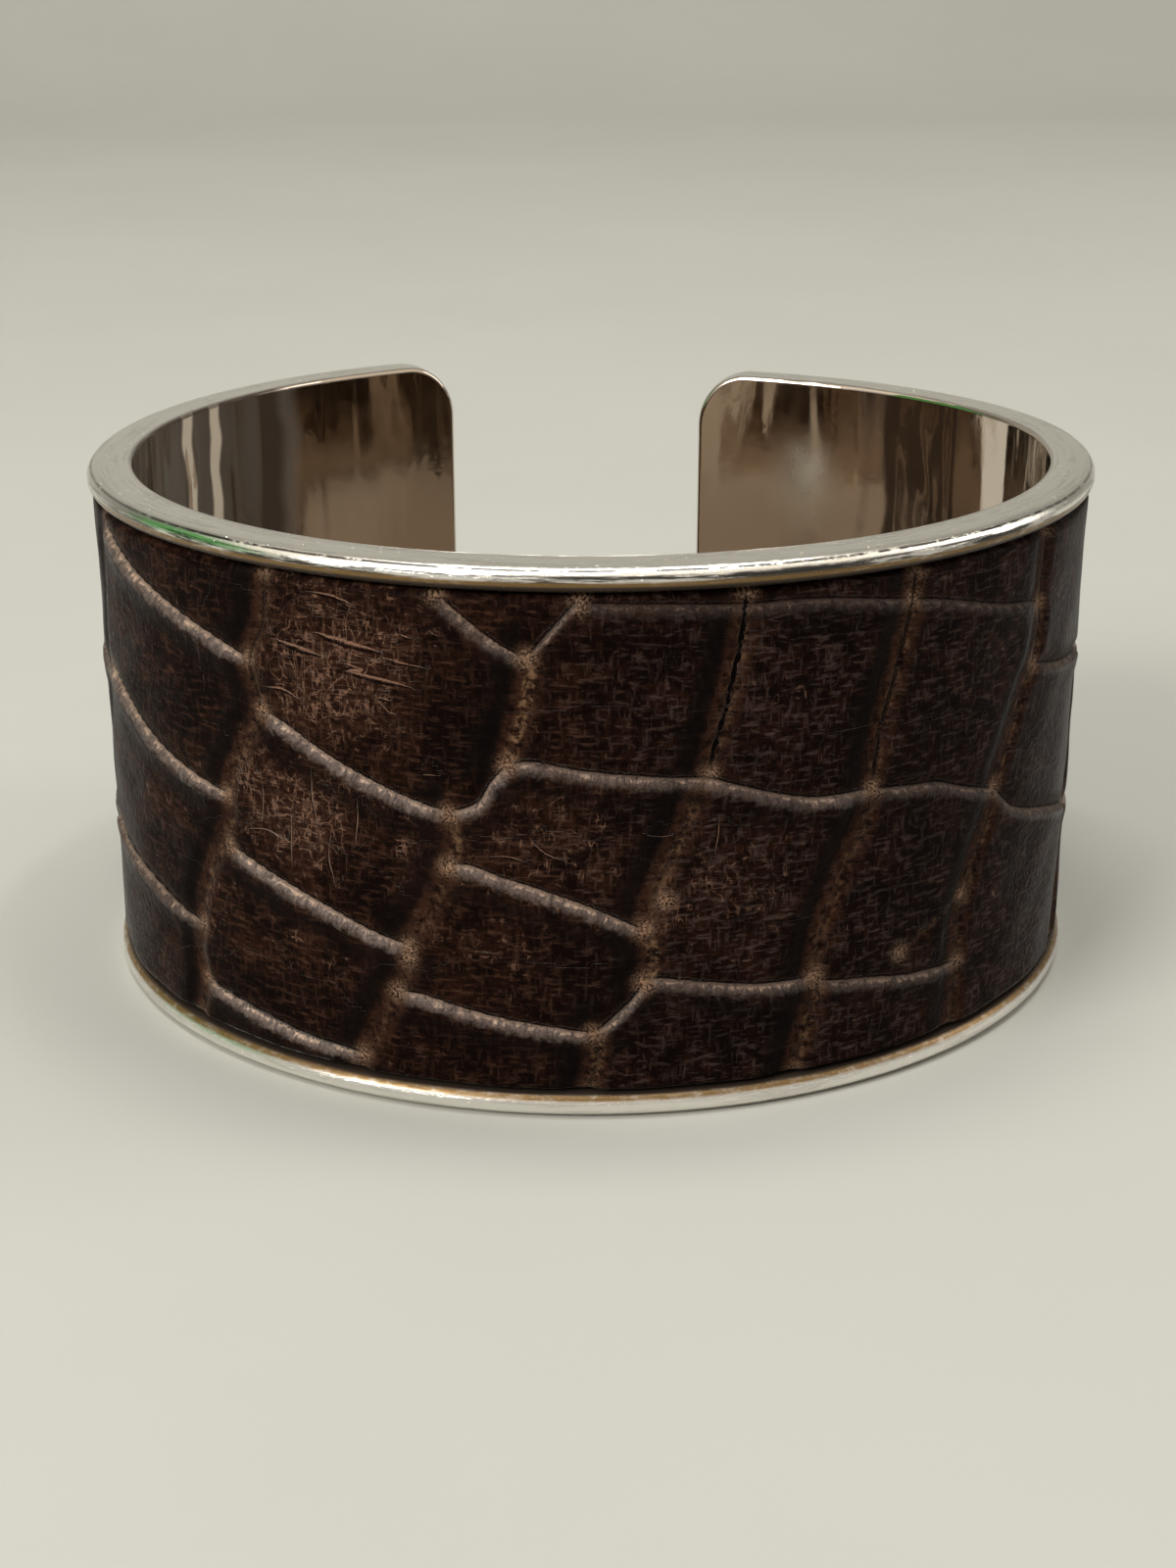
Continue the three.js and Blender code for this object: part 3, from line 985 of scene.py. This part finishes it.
def make_leather_strip():
    start = band_start + hide_inset
    end = band_end - hide_inset
    low = hide_inset
    high = band_height - hide_inset
    middle = (low + high) / 2
    bpy.ops.object.select_all(action="DESELECT")
    bpy.ops.mesh.primitive_grid_add(
        x_subdivisions=hide_columns,
        y_subdivisions=hide_rows,
        size=1,
        location=((start + end) / 2, rim_reach - hide_face, middle),
        rotation=(math.pi / 2, 0, 0),
    )
    strip = bpy.context.object
    strip.name = "embossed_leather_strip"
    strip.scale = (end - start, high - low, 1)
    bpy.ops.object.transform_apply(location=True, rotation=True, scale=True)
    mesh = strip.data
    places = np.zeros(len(mesh.vertices) * 3)
    mesh.vertices.foreach_get("co", places)
    places = places.reshape(-1, 3)
    from_end = np.minimum(places[:, 0] - start, end - places[:, 0])
    corner = np.clip(hide_corner_radius - from_end, 0, hide_corner_radius)
    lowering = hide_corner_radius - np.sqrt(hide_corner_radius**2 - corner**2)
    half_height = (high - low) / 2
    places[:, 2] = middle + (places[:, 2] - middle) * (half_height - lowering) / half_height
    border = np.minimum(from_end, half_height - lowering - np.abs(places[:, 2] - middle))
    border_drop = hide_edge_round - np.sqrt(
        hide_edge_round**2 - np.clip(hide_edge_round - border, 0, hide_edge_round) ** 2
    )
    s = (places[:, 0] - front_place) / mm / hide_to_outline
    z = places[:, 2] / mm
    masks = emboss(np.column_stack([s, z]))
    places[:, 1] -= masks["depth"] * mm - border_drop
    mesh.vertices.foreach_set("co", places.ravel())
    set_attribute(mesh, "hide_place", (s, z, masks["wrinkle"]))
    set_attribute(mesh, "seam_line", (masks["signed"], masks["along"], masks["crack"]))
    set_attribute(mesh, "upright_line", (masks["across"], masks["split"], 0 * s))
    set_attribute(mesh, "seam_wear_and_highlight", (masks["pale"], masks["thread"], masks["junction"]))
    set_attribute(mesh, "hide_tone", (masks["burnish_and_painted_shade"], masks["warm"], masks["rubbed"]))

    back_place = rim_reach - hide_back
    bpy.ops.object.mode_set(mode="EDIT")
    bpy.ops.mesh.select_mode(type="EDGE")
    bpy.ops.mesh.select_all(action="DESELECT")
    bpy.ops.mesh.select_non_manifold()
    bpy.ops.mesh.extrude_region_move(TRANSFORM_OT_translate={"value": (0, 0.1 * mm, 0)})
    bpy.ops.object.mode_set(mode="OBJECT")
    for vertex in mesh.vertices:
        if vertex.select:
            vertex.co.y = back_place
    bpy.ops.object.mode_set(mode="EDIT")
    bpy.ops.mesh.edge_face_add()
    bpy.ops.mesh.select_all(action="SELECT")
    bpy.ops.mesh.normals_make_consistent(inside=False)
    bpy.ops.mesh.select_mode(type="FACE")
    bpy.ops.mesh.select_all(action="DESELECT")
    select_faces(strip, lambda face: face.normal.y < 0.9)
    bpy.ops.mesh.hide()
    cuts = round((end - start) / hide_back_step)
    for cut in range(1, cuts):
        place = start + (end - start) * cut / cuts
        bpy.ops.mesh.select_all(action="SELECT")
        bpy.ops.mesh.bisect(plane_co=(place, 0, 0), plane_no=(1, 0, 0))
    bpy.ops.mesh.reveal()
    bpy.ops.object.mode_set(mode="OBJECT")
    wrap_round_former(strip)
    bpy.ops.object.shade_smooth_by_angle(angle=math.radians(60))
    return strip


dark_hide = (0.0036, 0.0014, 0.0010)
brown_hide = (0.0230, 0.0082, 0.0046)
weave_brown = (0.0520, 0.0240, 0.0145)
weave_grey = (0.0580, 0.0370, 0.0320)
rubbed_hide = (0.0560, 0.0250, 0.0165)
burnish_and_shade_black = (0.0036, 0.0028, 0.0028)
seam_brown = (0.0400, 0.0170, 0.0100)
crease_tan = (0.2400, 0.1300, 0.0850)
crest_tan_highlight = (0.7200, 0.4800, 0.3400)
lip_foot = (0.0420, 0.0250, 0.0200)
lip_body_wear_highlight = (0.2100, 0.1500, 0.1250)
thread_tan = (0.2800, 0.1600, 0.0850)
spot_tan = (0.4000, 0.2500, 0.1600)
crack_and_shade_black = (0.0020, 0.0012, 0.0010)


# Thin lines where a stretched noise crosses its middle value: wrinkles that run one way
def add_creases(place, scale, turn, width):
    grain = noise(stretch(place, scale, turn), 1.0, 3.0, 0.5, 0.35)
    return between(abs(grain - 0.5), 0.25 * width, width, 1.0, 0.0)


# The net of small cracks in the dyed surface
def add_crack_net(place, cells, width):
    tree = place.id_data
    warp = add_node(tree, "ShaderNodeVectorMath", operation="MULTIPLY_ADD")
    shift = add_node(tree, "ShaderNodeTexNoise")
    shift.inputs["Scale"].default_value = 1.6 * cells
    shift.inputs["Detail"].default_value = 3.0
    put(place, shift.inputs["Vector"])
    put(shift.outputs["Color"], warp.inputs[0])
    warp.inputs[1].default_value = (0.60 / cells, 0.60 / cells, 0)
    put(place, warp.inputs[2])
    net = add_node(tree, "ShaderNodeTexVoronoi", feature="DISTANCE_TO_EDGE", voronoi_dimensions="2D")
    net.inputs["Scale"].default_value = cells
    put(stretch(warp.outputs["Vector"], (1.15, 0.9, 1)), net.inputs["Vector"])
    return between(Amount(net.outputs["Distance"]), 0.2 * width, width, 1.0, 0.0)


def make_embossed_leather():
    material, tree, surface = new_material("embossed_leather")
    s, z, wrinkle = read_attribute(tree, "hide_place")
    signed, along, crack = read_attribute(tree, "seam_line")
    across, split, _ = read_attribute(tree, "upright_line")
    pale, thread, junction = read_attribute(tree, "seam_wear_and_highlight")
    burnish_and_painted_shade, warm, rubbed = read_attribute(tree, "hide_tone")
    place = make_place(s, z)

    blotch = noise(place, 0.45, 5.0, 0.62)
    mottle = noise(place, 1.9, 5.0, 0.68, 0.3)
    grain = noise(place, 6.5, 4.0, 0.7)
    level_grain = noise(stretch(place, (0.9, 3.4, 1), 0.10), 1.0, 2.0, 0.6, 0.25)
    upright_grain = noise(stretch(place, (3.4, 0.8, 1), -0.06), 1.0, 2.0, 0.6, 0.25)
    level_lines = add_creases(place, (0.30, 1.9, 1), 0.12, 0.018)
    upright_lines = add_creases(place, (1.5, 0.28, 1), -0.05, 0.020)
    wide_net = add_crack_net(place, 0.90, 0.050)

    tone = mottle * 0.50 + blotch * 0.60 + rubbed * 0.14
    colour = blend_colour(between(tone, 0.46, 0.74), dark_hide, brown_hide)
    colour = blend_colour(between(tone, 0.66, 0.92), colour, rubbed_hide)

    # The weave of fine cracks, greyer towards the right, and the dark between its threads
    dull = 1.0 - burnish_and_painted_shade * 0.80
    netted = between(blotch + rubbed * 0.20, 0.36, 0.66, 0.45, 1.0) * dull
    weave = larger(between(level_grain, 0.50, 0.68), between(upright_grain, 0.52, 0.70, 0.0, 0.8))
    weave_colour = blend_colour(between(s, -8.0, 6.0), weave_brown, weave_grey)
    colour = blend_colour(weave * netted, colour, weave_colour)
    threads = work("MINIMUM", level_grain, upright_grain)
    colour = blend_colour(between(threads, 0.40, 0.30, 0.0, 0.8), colour, dark_hide)

    # Longer cracks where the dye is rubbed, and the charted wrinkles with a furrow under each, painted
    # dark as shade
    breaks = noise(place, 1.0, 3.0, 0.6, 0.3)
    kept = between(rubbed * 0.34 + breaks, 0.58, 0.80) * dull
    lines = larger(wide_net * 0.9, larger(level_lines, upright_lines))
    cracked = lines * kept * between(mottle, 0.38, 0.60, 0.10, 1.0)
    frayed = wrinkle + (mottle - 0.5) * 1.8
    stroke = between(abs(frayed), 0.4, 1.0, 1.0, 0.0) * between(grain, 0.30, 0.50)
    cracked = larger(cracked * 0.85, stroke)
    colour = blend_colour(cracked, colour, crease_tan)
    # Painted shade along the furrow under each wrinkle
    wrinkle_furrow_shade = between(abs(frayed - 2.3), 0.6, 1.3, 0.9, 0.0)
    colour = blend_colour(wrinkle_furrow_shade, colour, dark_hide)
    pits = between(grain, 0.30, 0.44, 1.0, 0.0)
    colour = blend_colour(pits * 0.7, colour, dark_hide)
    # Burnish and painted shade, nearly black, below the lips and beside the uprights
    burnish_and_shade_patch = burnish_and_painted_shade * between(blotch, 0.30, 0.55, 0.55, 1.0)
    colour = blend_colour(burnish_and_shade_patch * 0.70, colour, burnish_and_shade_black)
    ragged = between(mottle + grain * 0.6, 0.62, 0.90)
    colour = blend_colour(warm * ragged * 0.8, colour, seam_brown)

    # The worn lips of the rows, painted pale as wear and as a painted highlight, gathered across, with a
    # painted highlight on the pale crest and a ragged lower edge
    gathers = noise(make_place(along * 3.1, signed * 0.9), 1.0, 6.0, 0.78, 0.8)
    lip_wear_and_highlight = pale * between(signed, -0.04, 0.04)
    ragged_edge = signed + larger((mottle - 0.5) * 1.3, -0.25)
    lip = lip_wear_and_highlight * between(ragged_edge, 0.30, 0.92, 1.0, 0.0)
    lip_tone = between(gathers + grain * 0.5, 0.56, 0.98)
    colour = blend_colour(lip, colour, blend_colour(lip_tone, lip_foot, lip_body_wear_highlight))
    # The crest: a pale tan painted highlight along the lip's top edge, over the wear
    crest = between(ragged_edge, 0.08, 0.26, 1.0, 0.0) * lip_wear_and_highlight
    crest = crest * between(gathers, 0.38, 0.64, 0.16, 0.92)
    colour = blend_colour(crest, colour, crest_tan_highlight)
    fibre = thread * between(mottle, 0.46, 0.66)
    colour = blend_colour(fibre, colour, thread_tan)
    spot = junction * between(grain, 0.42, 0.60)
    colour = blend_colour(spot * 0.85, colour, spot_tan)

    # The black cracks, along the rows and down the uprights; along the rows the black line is also painted
    # shade at the step under the scale above
    row_opening = between(gathers, 0.35, 0.62, 0.03, 0.20)
    row_crack_and_shade = work("LESS_THAN", abs(signed + 0.03), row_opening)
    upright_opening = between(mottle, 0.38, 0.60, 0.02, 0.19)
    upright_crack = work("LESS_THAN", abs(across + 0.03), upright_opening)
    black_crack_and_shade = larger(row_crack_and_shade * crack, upright_crack * split)
    colour = blend_colour(black_crack_and_shade, colour, crack_and_shade_black)
    put(colour, surface.inputs["Base Color"])

    matt_patches = add_patches(place, 1.9, 0.30, 0.70) * 0.18
    gloss = matt_patches + cracked * 0.1 + 0.42 - burnish_and_painted_shade * 0.10 - lip * 0.12
    put(gloss, surface.inputs["Roughness"])
    put(lip * 0.34 + 0.022, surface.inputs["Specular IOR Level"])
    surface.inputs["Sheen Weight"].default_value = 0.52
    surface.inputs["Sheen Roughness"].default_value = 0.14
    surface.inputs["Sheen Tint"].default_value = (0.85, 0.84, 0.80, 1)

    height = grain * 0.030 + mottle * 0.070 + gathers * pale * 0.07 + weave * 0.012 + cracked * 0.030
    show_height(surface, height - wrinkle_furrow_shade * 0.030 - black_crack_and_shade * 0.06)
    return material


leather_strip = make_leather_strip()
leather_strip.data.materials.append(make_embossed_leather())
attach(leather_strip, "root")
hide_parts("leather_inlay")


bpy.data.objects.remove(former)
